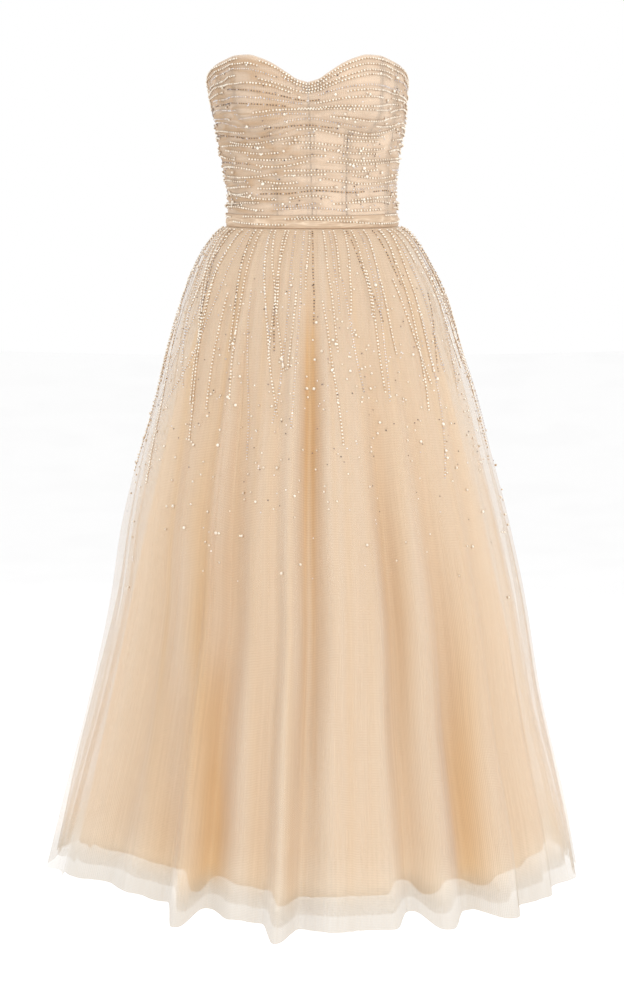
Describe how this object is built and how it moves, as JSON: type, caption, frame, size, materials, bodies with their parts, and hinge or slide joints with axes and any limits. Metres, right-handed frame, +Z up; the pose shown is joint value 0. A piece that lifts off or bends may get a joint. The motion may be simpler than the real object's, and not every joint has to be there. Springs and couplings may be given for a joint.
{
  "type": "strapless cocktail dress",
  "caption": "Strapless sweetheart dress with a ruched, cupped corset bodice, a folded waist band and a full gathered tulle skirt over a lining, closed by a back zip.",
  "frame": {"origin": "middle of the waist seam, where the wearer's waist holds the dress", "axes": "+Z up, -Y towards the front of the dress, +X towards the wearer's left (the viewer's right)"},
  "size_m": [0.7918, 0.805, 1.209],
  "materials": {
    "bodice_cloth": "champagne ruched tulle over corset cloth, with pearl and crystal strings",
    "band_cloth": "champagne folded tulle",
    "outer_tulle": "sheer champagne tulle with beading",
    "inner_tulle": "sheer champagne tulle",
    "lining_satin": "peach lining, soft sheen",
    "tape": "woven zip tape",
    "zip_metal": "lacquered to match the cloth"
  },
  "bodies": {
    "dress": {"front_centre_left": "bodice_cloth", "front_side_left": "bodice_cloth", "cup_inner_left": "bodice_cloth", "cup_outer_left": "bodice_cloth", "side_left": "bodice_cloth", "back_left": "bodice_cloth", "front_centre_right": "bodice_cloth", "front_side_right": "bodice_cloth", "cup_inner_right": "bodice_cloth", "cup_outer_right": "bodice_cloth", "side_right": "bodice_cloth", "back_right": "bodice_cloth", "waist_band": "band_cloth", "skirt_lining": "lining_satin", "skirt_tulle_inner": "inner_tulle", "skirt_tulle_outer": "outer_tulle", "zip_tape": "tape", "zip_slider": "zip_metal"},
    "zip_pull": {"zip_pull": "zip_metal"}
  },
  "joints": [
    {"name": "zip_pull_hinge", "type": "hinge", "parent": "dress", "child": "zip_pull", "pos_m": [-0.00412, 0.09699, 0.16775], "axis": [1, 0, 0], "range_deg": [0, 165]}
  ]
}
